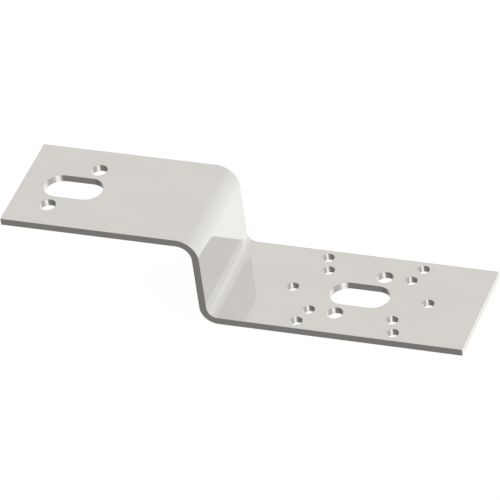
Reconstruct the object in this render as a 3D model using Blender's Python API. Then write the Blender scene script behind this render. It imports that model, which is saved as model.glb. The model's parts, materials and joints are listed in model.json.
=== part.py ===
"""Wall mounting plate: one strip of steel sheet, cranked by two square bends.

The lower plate stands on the ground plane. The web rises from it to the upper plate, which
runs the other way. Each plate is pierced by a slot and a pattern of bolt holes.

The origin is the middle of the footprint, on the lower plate's underside. +X runs along the
strip from the upper plate to the lower one, +Y across it, and +Z up.
"""

import math

import bmesh
import bpy
from mathutils import Vector

MM = 0.001

# Strip
WIDTH = 65.0 * MM
THICKNESS = 4.0 * MM
UPPER_LENGTH = 110.0 * MM          # from the upper plate's free end to the web's front face
LOWER_LENGTH = 140.0 * MM          # from the web's front face to the lower plate's free end
OFFSET = 49.5 * MM                 # from the top of the lower plate to the top of the upper one
LOWER_BEND_RADIUS = 5.5 * MM       # on the inside of the bend
UPPER_BEND_RADIUS = 8.0 * MM       # on the inside of the bend
EDGE_BREAK = 0.25 * MM             # chamfer left by deburring the strip's outline

# Holes
SLOT_WIDTH = 18.0 * MM
SLOT_LENGTH = 33.0 * MM            # from end to end, along the strip
LARGE_HOLE = 9.0 * MM              # diameter, clears an M8 bolt
SMALL_HOLE = 6.8 * MM              # diameter, clears an M6 bolt

# Places of the holes, counted from the slot in the middle of each pattern
UPPER_SLOT_FROM_END = 29.3 * MM    # upper plate's free end to its slot's middle
LOWER_SLOT_FROM_END = 66.3 * MM    # lower plate's free end to its slot's middle
HOLE_LINES = 33.0 * MM             # between the lines of holes along the slot's two sides
LARGE_PAIR = 17.0 * MM             # along the strip, between the two large holes
SMALL_PAIRS = 46.0 * MM            # along the strip, between the small holes on those lines
BOLT_CIRCLE = 75.0 * MM            # diameter of the circle of small holes
BOLT_ANGLES = (0, 45, 135, 180, 225, 315)

# Facets
BEND_STEPS = 18
HOLE_STEPS = 40                    # round each full turn
SLOT_STEPS = 64
CUT_PAST = 1.0 * MM                # cutters run past both faces of the sheet by this much
SMOOTH_BELOW = math.radians(30)

# Finish
STEEL_COLOUR = (0.87, 0.86, 0.83, 1.0)
STEEL_ROUGHNESS = 0.1

RIGHT_END = (UPPER_LENGTH + LOWER_LENGTH) / 2
LEFT_END = -RIGHT_END
WEB_FRONT = LEFT_END + UPPER_LENGTH
WEB_BACK = WEB_FRONT - THICKNESS


def clear_scene():
    for item in list(bpy.data.objects):
        bpy.data.objects.remove(item)


def with_rim(face):
    return [face, *face.edges, *face.verts]


def last_face(elements):
    return next(item for item in elements if isinstance(item, bmesh.types.BMFace))


def push(mesh, face, travel):
    """Extrude the leading face by a straight travel, and return the new leading face."""
    moved = bmesh.ops.extrude_face_region(mesh, geom=with_rim(face))["geom"]
    corners = [item for item in moved if isinstance(item, bmesh.types.BMVert)]
    bmesh.ops.translate(mesh, verts=corners, vec=Vector(travel))
    return last_face(moved)


def bend(mesh, face, centre, degrees):
    """Swing the leading face round a bend's axis, which lies along Y."""
    swung = bmesh.ops.spin(
        mesh,
        geom=with_rim(face),
        cent=Vector(centre),
        axis=Vector((0, 1, 0)),
        angle=math.radians(degrees),
        steps=BEND_STEPS,
        use_duplicate=False,
    )
    return last_face(swung["geom_last"])


def folded_strip():
    """The strip, drawn from the lower plate's end round both bends to the upper plate's end."""
    mesh = bmesh.new()
    near, far = -WIDTH / 2, WIDTH / 2
    section = ((near, 0), (far, 0), (far, THICKNESS), (near, THICKNESS))
    face = mesh.faces.new([mesh.verts.new((RIGHT_END, y, z)) for y, z in section])

    lower_axis = (WEB_FRONT + LOWER_BEND_RADIUS, 0, THICKNESS + LOWER_BEND_RADIUS)
    upper_axis = (WEB_BACK - UPPER_BEND_RADIUS, 0, OFFSET - UPPER_BEND_RADIUS)
    face = push(mesh, face, (lower_axis[0] - RIGHT_END, 0, 0))
    face = bend(mesh, face, lower_axis, 90)
    face = push(mesh, face, (0, 0, upper_axis[2] - lower_axis[2]))
    face = bend(mesh, face, upper_axis, -90)
    push(mesh, face, (LEFT_END - upper_axis[0], 0, 0))

    bmesh.ops.recalc_face_normals(mesh, faces=mesh.faces)
    return mesh


def upper_holes():
    """Each opening in the upper plate: its middle's x and y, its width and its straight length."""
    x = LEFT_END + UPPER_SLOT_FROM_END
    return [slot(x), *large_pair(x)]


def lower_holes():
    """Each opening in the lower plate: its middle's x and y, its width and its straight length."""
    x = RIGHT_END - LOWER_SLOT_FROM_END
    return [slot(x), *large_pair(x), *small_rectangle(x), *small_circle(x)]


def slot(x):
    """The slot on the strip's middle line. Its ends are half circles."""
    return (x, 0, SLOT_WIDTH, SLOT_LENGTH - SLOT_WIDTH)


def large_pair(x):
    """Two large holes on a diagonal across the slot."""
    return [(x + side * LARGE_PAIR / 2, side * HOLE_LINES / 2, LARGE_HOLE, 0) for side in (-1, 1)]


def small_rectangle(x):
    """Four small holes on the lines beside the slot."""
    corners = [(along, across) for along in (-1, 1) for across in (-1, 1)]
    return [(x + along * SMALL_PAIRS / 2, across * HOLE_LINES / 2, SMALL_HOLE, 0) for along, across in corners]


def small_circle(x):
    """Small holes on the bolt circle. Its front and back lie off the strip and have no hole."""
    radius = BOLT_CIRCLE / 2
    turns = [math.radians(angle) for angle in BOLT_ANGLES]
    return [(x + radius * math.cos(turn), radius * math.sin(turn), SMALL_HOLE, 0) for turn in turns]


def add_cutter(mesh, hole, underside):
    """A round or long-ended punch through the sheet whose underside is given."""
    x, y, diameter, straight = hole
    steps = SLOT_STEPS if straight else HOLE_STEPS
    outline = []
    for side in (1, -1):
        for step in range(steps // 2 + 1):
            turn = math.radians(-90 + 360 * step / steps)
            across = side * diameter / 2 * math.sin(turn)
            along = side * (straight / 2 + diameter / 2 * math.cos(turn))
            outline.append(mesh.verts.new((x + along, y + across, underside - CUT_PAST)))
    face = mesh.faces.new(outline)
    push(mesh, face, (0, 0, THICKNESS + 2 * CUT_PAST))


def punches():
    """Every hole and slot of both plates, as one mesh of separate closed punches."""
    mesh = bmesh.new()
    for hole in lower_holes():
        add_cutter(mesh, hole, 0)
    for hole in upper_holes():
        add_cutter(mesh, hole, OFFSET)
    bmesh.ops.remove_doubles(mesh, verts=mesh.verts, dist=0.001 * MM)
    bmesh.ops.recalc_face_normals(mesh, faces=mesh.faces)
    return mesh


def as_object(mesh, name):
    data = bpy.data.meshes.new(name)
    mesh.to_mesh(data)
    mesh.free()
    item = bpy.data.objects.new(name, data)
    bpy.context.collection.objects.link(item)
    return item


def steel():
    material = bpy.data.materials.new("steel")
    material.use_nodes = True
    shader = material.node_tree.nodes["Principled BSDF"]
    shader.inputs["Base Color"].default_value = STEEL_COLOUR
    shader.inputs["Metallic"].default_value = 1.0
    shader.inputs["Roughness"].default_value = STEEL_ROUGHNESS
    material.diffuse_color = STEEL_COLOUR
    return material


def mounting_plate():
    plate = as_object(folded_strip(), "mounting_plate")
    cutter = as_object(punches(), "punches")
    cutter.hide_render = True
    cutter.display_type = "WIRE"

    chamfer = plate.modifiers.new("edge_break", "BEVEL")
    chamfer.width = EDGE_BREAK
    chamfer.segments = 1
    chamfer.limit_method = "ANGLE"
    chamfer.angle_limit = math.radians(60)

    holes = plate.modifiers.new("holes", "BOOLEAN")
    holes.operation = "DIFFERENCE"
    holes.solver = "EXACT"
    holes.object = cutter

    finished = plate.evaluated_get(bpy.context.evaluated_depsgraph_get())
    plate.data = bpy.data.meshes.new_from_object(finished)
    plate.modifiers.clear()
    bpy.data.objects.remove(cutter)

    plate.data.shade_smooth()
    plate.data.set_sharp_from_angle(angle=SMOOTH_BELOW)
    plate.data.materials.clear()
    plate.data.materials.append(steel())
    return plate


clear_scene()
mounting_plate()
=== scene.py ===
"""Looks of the wall mounting plate: bright rolled steel sheet on a white studio floor."""

import json
import math

import bpy
from mathutils import Matrix, Vector


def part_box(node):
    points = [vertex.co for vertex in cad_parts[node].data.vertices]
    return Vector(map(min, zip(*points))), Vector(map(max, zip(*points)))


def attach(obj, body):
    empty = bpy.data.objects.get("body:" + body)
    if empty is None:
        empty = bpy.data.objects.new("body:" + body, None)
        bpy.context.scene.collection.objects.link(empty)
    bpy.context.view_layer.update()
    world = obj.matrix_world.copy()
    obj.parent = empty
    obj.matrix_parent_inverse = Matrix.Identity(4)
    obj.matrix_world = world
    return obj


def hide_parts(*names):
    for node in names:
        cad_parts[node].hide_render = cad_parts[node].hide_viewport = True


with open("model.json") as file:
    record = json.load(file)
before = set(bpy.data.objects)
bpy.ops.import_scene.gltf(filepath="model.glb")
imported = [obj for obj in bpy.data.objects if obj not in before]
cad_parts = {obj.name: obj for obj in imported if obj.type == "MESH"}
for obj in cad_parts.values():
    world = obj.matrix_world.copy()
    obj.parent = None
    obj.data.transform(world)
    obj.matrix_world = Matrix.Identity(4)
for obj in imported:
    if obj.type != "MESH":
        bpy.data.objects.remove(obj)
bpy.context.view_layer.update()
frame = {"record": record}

MM = 0.001
low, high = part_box("mounting_plate")

# Sizes of the sheet, as its solid has them
THICKNESS = 4.0 * MM
UPPER_LENGTH = 110.0 * MM
LOWER_BEND_RADIUS = 5.5 * MM
UPPER_BEND_RADIUS = 8.0 * MM
SLOT_WIDTH = 18.0 * MM
SLOT_LENGTH = 33.0 * MM
LARGE_HOLE = 9.0 * MM
SMALL_HOLE = 6.8 * MM

WIDTH = high.y - low.y
OFFSET = high.z - THICKNESS
WEB_FRONT = low.x + UPPER_LENGTH
WEB_BACK = WEB_FRONT - THICKNESS
LOWER_AXIS = Vector((WEB_FRONT + LOWER_BEND_RADIUS, 0, THICKNESS + LOWER_BEND_RADIUS))
UPPER_AXIS = Vector((WEB_BACK - UPPER_BEND_RADIUS, 0, OFFSET - UPPER_BEND_RADIUS))

# How finely the visible sheet is made
BEND_STEPS = 40
HOLE_STEPS = 96                     # round a hole
SLOT_STEPS = 128                    # round the two ends of a slot together
EDGE_ROUND, EDGE_STEPS = 0.06 * MM, 3  # along the sheet's outline
RIM_ROUND, RIM_STEPS = 0.05 * MM, 2  # round the holes
CUT_PAST = 1.0 * MM                 # punches run past both faces of the sheet by this much
WELD = 0.0001 * MM                  # points closer than this become one
SHARP_FROM = math.radians(60)       # edges at least this steep are rounded
SMOOTH_BELOW = math.radians(50)     # faces that meet at less than this shade as one

# What tells a face that was cut
WALL_HEIGHTS = (0.05, 0.95)         # its middle lies between these shares of the thickness
UPRIGHT_BELOW = 0.3                 # its normal's Z is smaller than this
SIDE_ABOVE = 0.9                    # or its normal's Y is larger than this

# Tones of the steel. Where there are two, it goes from the first to the second
SHEET_TONES = (0.831, 0.828, 0.820, 1), (0.895, 0.892, 0.885, 1)
CUT_TONES = (0.838, 0.827, 0.807, 1), (0.912, 0.900, 0.880, 1)
# The next tone is painted sheen: a lighter band in the lower bend that stands in for its brighter
# reflection
SHEEN_PAINTED_TONE = (0.926, 0.922, 0.908, 1)
WORN_TONE = (0.760, 0.748, 0.730, 1)

# Patterns in the steel, in spots a metre
GRAIN_ALONG, GRAIN_ACROSS = 45, 3800
CLOUDS_ALONG, CLOUDS_ACROSS = 22, 45
SHEAR_LINES, SHEAR_THROUGH = 2300, 200
SCUFFS = 900
NOISE_SPREAD = (0.3, 0.7)           # nearly all of the noise lies between these
SCUFFED = (0.42, 0.62)              # noise where scuffs start, and where they are full
GRAIN_SHARE = 0.55                  # of the sheet's tone. The rest comes from the clouds
WORN_EDGE = 0.9 * MM                # scuffs reach in this far from the outline
WORN_DEPTH = 0.8

# Painted sheen, a lighter band across the inside of the lower bend that stands in for its brighter
# reflection: its heights from the upper end of the lower bend
SHEEN_PAINTED_TOP = 2.2 * MM
SHEEN_PAINTED_FULL = -1.5 * MM
SHEEN_PAINTED_BOTTOM = -2.7 * MM

# Roughness, and what each pattern adds to it
SHEET_ROUGHNESS, GRAIN_ROUGHNESS, CLOUD_ROUGHNESS = 0.035, 0.03, 0.02
CUT_ROUGHNESS, SHEAR_ROUGHNESS = 0.06, 0.06
LOWER_BEND_ROUGHNESS, UPPER_BEND_ROUGHNESS = 0.14, 0.04
WORN_ROUGHNESS = 0.08
RELIEF = 0.0008 * MM                # height of the grain
SHEAR_RELIEF = 5.0                  # height of the shear lines, in heights of the grain

# Light round the studio, low down and high up: azimuth in degrees from +X, and strength
LOW_LIGHT = (
    (-180, 0.205), (-165, 0.155), (-145, 0.145), (-128, 0.205), (-103, 0.206), (-91, 0.24),
    (-80, 0.41), (-60, 0.45), (-40, 0.53), (-28, 0.56), (-14, 0.50), (5, 0.475), (14, 0.485),
    (26, 0.65), (38, 0.865), (49, 0.95), (66, 0.98), (82, 0.88), (100, 0.80), (120, 0.71),
    (137, 0.63), (153, 0.49), (169, 0.31), (180, 0.205),
)
HIGH_LIGHT = (
    (-180, 0.58), (-135, 0.54), (-90, 0.54), (-45, 0.58), (0, 0.66), (35, 0.75), (60, 0.76),
    (116, 0.76), (140, 0.70), (180, 0.58),
)
GRADIENT_ENDS = 0.617               # sine of the elevation up to which the two mix, below and above level
OVERHEAD = 0.70
UNDERFOOT = 0.55
POLES_FROM = 0.7                    # sine of the elevation from which those two come in
HIGH_TINT = (1.010, 0.987, 0.966, 1)
HIGH_TINT_TOWARDS_RIGHT = (0.007, 0.020, 0.034, 0)
WARMTH = (1.0, 0.99, 0.969)         # tint of all the light
LAMP_STRENGTH = 0.53
LAMP_TOWARDS = (0.417, -0.667, -0.617)
LAMP_EDGE, LAMP_FULL = 0.947, 0.990  # cosines of the angles where it starts, and where it is full

# Floor
FLOOR_SIZE = 40
FLOOR_DEPTH = 0.05 * MM             # below the plate
FLOOR_PAINT = (0.8, 0.8, 0.8, 1)    # for the light that it throws back
FLOOR_GLOW = 0.92                   # what the camera sees of it where the plate's shadow is full
FLOOR_SHADE = (0.17, 0.17, 0.17, 1)  # what the camera sees come and go with the shadow

# Camera
EYE_DISTANCE = 2.79557
EYE_AZIMUTH = math.radians(24.482)
EYE_ELEVATION = math.radians(38.121)
EYE_ROLL = math.radians(8.562)
EYE_TARGET = Vector((0.235, -0.553, 25.984)) * MM
LENS = 383.74                       # in millimetres, as the sensor is
SENSOR_WIDTH = 36
VIEW_ENDS = 60


class Wire:
    """A socket of a shader's node tree. Arithmetic on it adds the Math nodes that do it."""

    def __init__(self, tree, socket=None):
        self.tree = tree
        self.socket = socket

    def node(self, kind, settings=None, values=None, output=0):
        """Add a node with its settings, then its sockets' values or links. Returns one of its outputs."""
        made = self.tree.nodes.new(kind)
        for name, setting in (settings or {}).items():
            if name == "stops":
                set_stops(made.color_ramp, setting)
            else:
                setattr(made, name, setting)
        for name, value in (values or {}).items():
            if isinstance(value, Wire):
                self.tree.links.new(value.socket, made.inputs[name])
            else:
                made.inputs[name].default_value = value
        return Wire(self.tree, made.outputs[output])

    def into(self, shader, socket):
        self.tree.links.new(self.socket, shader.inputs[socket])

    def parts(self):
        """X, Y and Z of a vector."""
        return [self.node("ShaderNodeSeparateXYZ", values={0: self}, output=axis) for axis in range(3)]

    def _math(self, operation, *values):
        return self.node("ShaderNodeMath", {"operation": operation}, dict(enumerate(values)))

    def __add__(self, other):
        return self._math("ADD", self, other)

    __radd__ = __add__

    def __mul__(self, other):
        return self._math("MULTIPLY", self, other)

    __rmul__ = __mul__

    def __sub__(self, other):
        return self._math("SUBTRACT", self, other)

    def __rsub__(self, other):
        return self._math("SUBTRACT", other, self)

    def _vector_math(self, operation, values, output=0):
        return self.node("ShaderNodeVectorMath", {"operation": operation}, {0: self, **values}, output)

    def times(self, vector):
        return self._vector_math("MULTIPLY", {1: vector})

    def plus(self, vector):
        return self._vector_math("ADD", {1: vector})

    def scaled(self, number):
        return self._vector_math("SCALE", {"Scale": number})

    def towards(self, way):
        """How nearly a direction points a given way, 1 where it does."""
        return self._vector_math("DOT_PRODUCT", {1: way}, output="Value")

    def looked_up_in(self, lights):
        """Strength at a share of a full turn, from a list of azimuths and strengths."""
        stops = [((azimuth + 180) / 360, strength) for azimuth, strength in lights]
        return self.node("ShaderNodeValToRGB", {"stops": stops}, {"Fac": self})

    def angle_from(self, other):
        """Angle of the direction (other, self), from -pi to pi."""
        return self._math("ARCTAN2", self, other)

    def size(self):
        """The value without its sign."""
        return self._math("ABSOLUTE", self)

    def or_more(self, other):
        """The larger of two values."""
        return self._math("MAXIMUM", self, other)

    def fade(self, start, end):
        """From 0 to 1 as the value goes from start to end, and level beyond them."""
        return self.node("ShaderNodeMapRange", values={0: self, 1: start, 2: end})

    def noise(self, x, y, z, detail):
        """Noise at a place given by three numbers."""
        place = self.node("ShaderNodeCombineXYZ", values={0: x, 1: y, 2: z})
        return place.node("ShaderNodeTexNoise", values={"Vector": place, "Scale": 1.0, "Detail": detail})

    def mix_colours(self, first, second):
        """First colour where the value is 0, second where it is 1, and on in the same line past both."""
        settings = {"data_type": "RGBA", "clamp_factor": False}
        return self.node("ShaderNodeMix", settings, {0: self, 6: first, 7: second}, output=2)


def set_stops(ramp, stops):
    while len(ramp.elements) < len(stops):
        ramp.elements.new(0.5)
    for element, (place, shade) in zip(ramp.elements, stops):
        element.position = place
        element.color = (shade, shade, shade, 1)


def select_only(piece):
    bpy.ops.object.select_all(action="DESELECT")
    piece.select_set(True)
    bpy.context.view_layer.objects.active = piece


def edit(piece, select="SELECT"):
    select_only(piece)
    bpy.ops.object.mode_set(mode="EDIT")
    bpy.ops.mesh.select_all(action=select)


def leave_edit():
    bpy.ops.object.mode_set(mode="OBJECT")


def apply_modifier(piece, kind, **settings):
    select_only(piece)
    modifier = piece.modifiers.new(kind.lower(), kind)
    for name, setting in settings.items():
        setattr(modifier, name, setting)
    bpy.ops.object.modifier_apply(modifier=modifier.name)


def push(travel):
    """Draw the selected face out in a straight line."""
    bpy.ops.mesh.extrude_region_move(TRANSFORM_OT_translate={"value": travel})


def bend(centre, degrees):
    """Swing the selected face round a bend's axis, which lies along Y."""
    bpy.ops.mesh.spin(steps=BEND_STEPS, angle=math.radians(degrees), center=centre, axis=(0, -1, 0))


def folded_sheet():
    """The sheet's end, drawn along the lower plate, up the web and out along the upper plate."""
    bpy.ops.object.select_all(action="DESELECT")
    bpy.ops.mesh.primitive_plane_add(
        size=1, location=(high.x, 0, THICKNESS / 2), rotation=(0, math.radians(90), 0)
    )
    sheet = bpy.context.object
    sheet.name = "rolled_sheet"
    sheet.scale = (THICKNESS, WIDTH, 1)
    bpy.ops.object.transform_apply(location=True, rotation=True, scale=True)
    edit(sheet)
    push((LOWER_AXIS.x - high.x, 0, 0))
    bend(LOWER_AXIS, 90)
    push((0, 0, UPPER_AXIS.z - LOWER_AXIS.z))
    bend(UPPER_AXIS, -90)
    push((low.x - UPPER_AXIS.x, 0, 0))
    bpy.ops.mesh.select_all(action="SELECT")
    bpy.ops.mesh.remove_doubles(threshold=WELD)
    bpy.ops.mesh.normals_make_consistent(inside=False)
    leave_edit()
    return sheet


def punch(middle, underside, width, length, steps):
    """A punch through one thickness of the sheet, drawn out along X where it is longer than wide."""
    bpy.ops.object.select_all(action="DESELECT")
    bpy.ops.mesh.primitive_cylinder_add(
        vertices=steps,
        radius=width / 2,
        depth=THICKNESS + 2 * CUT_PAST,
        location=(middle.x, middle.y, underside + THICKNESS / 2),
        rotation=(0, 0, math.pi / steps),
    )
    cutter = bpy.context.object
    bpy.ops.object.transform_apply(location=True, rotation=True, scale=True)
    if length > width:
        for side in (-1, 1):
            edit(cutter, "DESELECT")
            leave_edit()
            for vertex in cutter.data.vertices:
                vertex.select = side * (vertex.co.x - middle.x) > 0
            bpy.ops.object.mode_set(mode="EDIT")
            bpy.ops.transform.translate(value=(side * (length - width) / 2, 0, 0))
            leave_edit()
    return cutter


def punches():
    """A punch for each opening that the record states in the two plates, joined into one object."""
    cutters = []
    for opening in frame["record"]["physics"]["openings"]:
        name = opening["name"]
        start, end = (Vector(corner) for corner in opening["box_m"])
        middle = (start + end) / 2
        underside = OFFSET if middle.z > OFFSET else 0
        if "slot" in name:
            cutters.append(punch(middle, underside, SLOT_WIDTH, SLOT_LENGTH, SLOT_STEPS))
        elif "large_hole" in name:
            cutters.append(punch(middle, underside, LARGE_HOLE, LARGE_HOLE, HOLE_STEPS))
        elif "hole" in name:
            cutters.append(punch(middle, underside, SMALL_HOLE, SMALL_HOLE, HOLE_STEPS))
    select_only(cutters[0])
    for cutter in cutters:
        cutter.select_set(True)
    bpy.ops.object.join()
    return cutters[0]


def mark_cut_faces(sheet):
    """Note, face by face, where the sheet was cut: its sides, its two ends and the walls of its holes."""
    marks = sheet.data.attributes.new("cut", "FLOAT", "FACE")
    wall_low, wall_high = (share * THICKNESS for share in WALL_HEIGHTS)
    for face in sheet.data.polygons:
        centre, normal = face.center, face.normal
        in_lower = centre.x > LOWER_AXIS.x and wall_low < centre.z < wall_high
        in_upper = centre.x < UPPER_AXIS.x and wall_low < centre.z - OFFSET < wall_high
        upright = abs(normal.z) < UPRIGHT_BELOW
        side = abs(normal.y) > SIDE_ABOVE
        marks.data[face.index].value = float(side or upright and (in_lower or in_upper))


def run_to(place):
    """How far along the sheet a place lies from the start of the lower bend, less than 0 beyond it."""
    lower_middle = LOWER_BEND_RADIUS + THICKNESS / 2
    upper_middle = UPPER_BEND_RADIUS + THICKNESS / 2
    web_starts = -lower_middle * math.pi / 2
    web_ends = web_starts - (UPPER_AXIS.z - LOWER_AXIS.z)
    upper_plate_starts = web_ends - upper_middle * math.pi / 2
    if place.x >= LOWER_AXIS.x:
        return place.x - LOWER_AXIS.x
    if place.z < LOWER_AXIS.z:
        return -lower_middle * math.atan2(LOWER_AXIS.x - place.x, LOWER_AXIS.z - place.z)
    if place.x <= UPPER_AXIS.x:
        return upper_plate_starts - (UPPER_AXIS.x - place.x)
    if place.z <= UPPER_AXIS.z:
        return web_starts - (place.z - LOWER_AXIS.z)
    return web_ends - upper_middle * math.atan2(place.z - UPPER_AXIS.z, place.x - UPPER_AXIS.x)


def mark_run(sheet):
    """Note at each point how far along the sheet it lies, for patterns that follow the bends."""
    marks = sheet.data.attributes.new("run", "FLOAT", "POINT")
    for vertex in sheet.data.vertices:
        marks.data[vertex.index].value = run_to(vertex.co)


def make_sheet():
    sheet = folded_sheet()
    steep = {"limit_method": "ANGLE", "angle_limit": SHARP_FROM}
    apply_modifier(sheet, "BEVEL", width=EDGE_ROUND, segments=EDGE_STEPS, **steep)
    cutter = punches()
    apply_modifier(sheet, "BOOLEAN", operation="DIFFERENCE", solver="EXACT", object=cutter)
    bpy.data.objects.remove(cutter)
    apply_modifier(sheet, "BEVEL", width=RIM_ROUND, segments=RIM_STEPS, **steep)
    mark_cut_faces(sheet)
    mark_run(sheet)
    select_only(sheet)
    bpy.ops.object.shade_smooth_by_angle(angle=SMOOTH_BELOW)
    apply_modifier(sheet, "WEIGHTED_NORMAL", keep_sharp=True, weight=100)
    sheet.data.materials.clear()
    sheet.data.materials.append(bright_steel())
    return sheet


def bright_steel():
    """Almost a mirror: grain of rolling along the strip, shear lines on its cuts, scuffs by its outline,
    and a painted sheen in the lower bend.
    """
    material = bpy.data.materials.new("bright_steel")
    material.use_nodes = True
    tree = material.node_tree
    shader = tree.nodes["Principled BSDF"]
    start = Wire(tree)
    x, y, z = start.node("ShaderNodeTexCoord", output="Object").parts()
    cut = start.node("ShaderNodeAttribute", {"attribute_name": "cut"}, output="Fac")
    run = start.node("ShaderNodeAttribute", {"attribute_name": "run"}, output="Fac")

    grain = start.noise(run * GRAIN_ALONG, y * GRAIN_ACROSS, 0, detail=3)
    cloud = start.noise(run * CLOUDS_ALONG, y * CLOUDS_ACROSS, 0, detail=2)
    shear = start.noise(run * SHEAR_LINES, y * SHEAR_LINES, z * SHEAR_THROUGH, detail=2)

    left_of_axis = x.fade(LOWER_AXIS.x + MM, LOWER_AXIS.x - MM)
    in_lower_bend = left_of_axis * z.fade(LOWER_AXIS.z + MM, LOWER_AXIS.z - MM)
    right_of_axis = x.fade(UPPER_AXIS.x - MM, UPPER_AXIS.x + MM)
    in_upper_bend = right_of_axis * z.fade(UPPER_AXIS.z - MM, UPPER_AXIS.z + MM)
    drawn_out = LOWER_BEND_ROUGHNESS * in_lower_bend + UPPER_BEND_ROUGHNESS * in_upper_bend

    # Painted sheen: a lighter tone across the inside of the lower bend, standing in for its brighter
    # reflection
    below_top = z.fade(LOWER_AXIS.z + SHEEN_PAINTED_TOP, LOWER_AXIS.z)
    above_bottom = z.fade(LOWER_AXIS.z + SHEEN_PAINTED_BOTTOM, LOWER_AXIS.z + SHEEN_PAINTED_FULL)
    on_front = x.fade(WEB_BACK + MM, WEB_FRONT - MM)
    painted_sheen = above_bottom * below_top * on_front

    near_side = y.size().fade(WIDTH / 2 - WORN_EDGE, WIDTH / 2)
    near_end = x.size().fade(high.x - WORN_EDGE, high.x)
    scuffs = start.noise(x * SCUFFS, y * SCUFFS, z * SCUFFS, detail=3).fade(*SCUFFED)
    worn = near_side.or_more(near_end) * scuffs * (1 - cut)

    streaks = GRAIN_SHARE * grain.fade(*NOISE_SPREAD) + (1 - GRAIN_SHARE) * cloud.fade(*NOISE_SPREAD)
    # The sheet's tone, with the painted sheen band mixed in
    sheet_tone = painted_sheen.mix_colours(streaks.mix_colours(*SHEET_TONES), SHEEN_PAINTED_TONE)
    cut_tone = shear.fade(*NOISE_SPREAD).mix_colours(*CUT_TONES)
    tone = cut.mix_colours(sheet_tone, cut_tone)
    (worn * WORN_DEPTH).mix_colours(tone, WORN_TONE).into(shader, "Base Color")

    sheet_roughness = SHEET_ROUGHNESS + GRAIN_ROUGHNESS * grain + CLOUD_ROUGHNESS * cloud + drawn_out
    cut_roughness = CUT_ROUGHNESS + SHEAR_ROUGHNESS * shear
    roughness = sheet_roughness + cut * (cut_roughness - sheet_roughness) + WORN_ROUGHNESS * worn
    roughness.into(shader, "Roughness")

    relief = grain + cut * (SHEAR_RELIEF * shear - grain)
    bump = start.node("ShaderNodeBump", values={"Strength": 1.0, "Distance": RELIEF, "Height": relief})
    bump.into(shader, "Normal")
    shader.inputs["Metallic"].default_value = 1.0
    return material


def studio():
    """White to the camera. To the plate, pale light all round, dim low down at the left, and a low lamp."""
    world = bpy.data.worlds.new("studio")
    bpy.context.scene.world = world
    world.use_nodes = True
    tree = world.node_tree
    tree.nodes.clear()
    direction = Wire(tree).node("ShaderNodeTexCoord", output="Generated")
    x, y, z = direction.parts()
    turn = y.angle_from(x) * (0.5 / math.pi) + 0.5
    low_light = turn.looked_up_in(LOW_LIGHT)
    low_light = low_light + z.fade(-POLES_FROM, -1.0) * (UNDERFOOT - low_light)
    high_light = turn.looked_up_in(HIGH_LIGHT)
    high_light = high_light + z.fade(POLES_FROM, 1.0) * (OVERHEAD - high_light)
    right_tint = [base + more for base, more in zip(HIGH_TINT, HIGH_TINT_TOWARDS_RIGHT)]
    tint = x.mix_colours(HIGH_TINT, right_tint)
    height = z.fade(-GRADIENT_ENDS, GRADIENT_ENDS)
    pale = (height * height).mix_colours(low_light, tint.scaled(high_light))
    lamp = direction.towards(LAMP_TOWARDS).fade(LAMP_EDGE, LAMP_FULL) * LAMP_STRENGTH
    round_about = pale.plus(lamp).times(WARMTH)
    seen = direction.node("ShaderNodeLightPath", output="Is Camera Ray")
    light = seen.mix_colours(round_about, (1, 1, 1, 1))
    background = light.node("ShaderNodeBackground", values={"Color": light, "Strength": 1.0})
    background.into(tree.nodes.new("ShaderNodeOutputWorld"), "Surface")


def floor():
    """A pale floor that takes the plate's shadow, white to the camera and not mirrored by the steel."""
    bpy.ops.object.select_all(action="DESELECT")
    bpy.ops.mesh.primitive_plane_add(size=FLOOR_SIZE, location=(0, 0, -FLOOR_DEPTH))
    ground = bpy.context.object
    ground.name = "floor"
    material = bpy.data.materials.new("white_floor")
    material.use_nodes = True
    tree = material.node_tree
    tree.nodes.clear()
    start = Wire(tree)
    paint = start.node("ShaderNodeBsdfDiffuse", values={"Color": FLOOR_PAINT})
    glow = start.node("ShaderNodeEmission", values={"Strength": FLOOR_GLOW})
    shadowed = start.node("ShaderNodeBsdfDiffuse", values={"Color": FLOOR_SHADE})
    white = start.node("ShaderNodeAddShader", values={0: glow, 1: shadowed})
    seen = start.node("ShaderNodeLightPath", output="Is Camera Ray")
    surface = start.node("ShaderNodeMixShader", values={0: seen, 1: paint, 2: white})
    output = tree.nodes.new("ShaderNodeOutputMaterial")
    surface.into(output, "Surface")
    ground.data.materials.append(material)
    ground.visible_glossy = False


def camera():
    """The photo's view, a little turned about the line of sight."""
    back = Vector((
        math.sin(EYE_AZIMUTH) * math.cos(EYE_ELEVATION),
        -math.cos(EYE_AZIMUTH) * math.cos(EYE_ELEVATION),
        math.sin(EYE_ELEVATION),
    ))
    data = bpy.data.cameras.new("camera")
    data.sensor_width = SENSOR_WIDTH
    data.lens = LENS
    data.clip_end = VIEW_ENDS
    eye = bpy.data.objects.new("camera", data)
    bpy.context.collection.objects.link(eye)
    eye.location = EYE_TARGET + back * EYE_DISTANCE
    turned = (-back).to_track_quat("-Z", "Y").to_matrix() @ Matrix.Rotation(-EYE_ROLL, 3, "Z")
    eye.rotation_euler = turned.to_euler()
    bpy.context.scene.camera = eye


sheet = make_sheet()
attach(sheet, "root")
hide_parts("mounting_plate")
studio()
floor()
camera()
bpy.context.scene.view_settings.view_transform = "Standard"
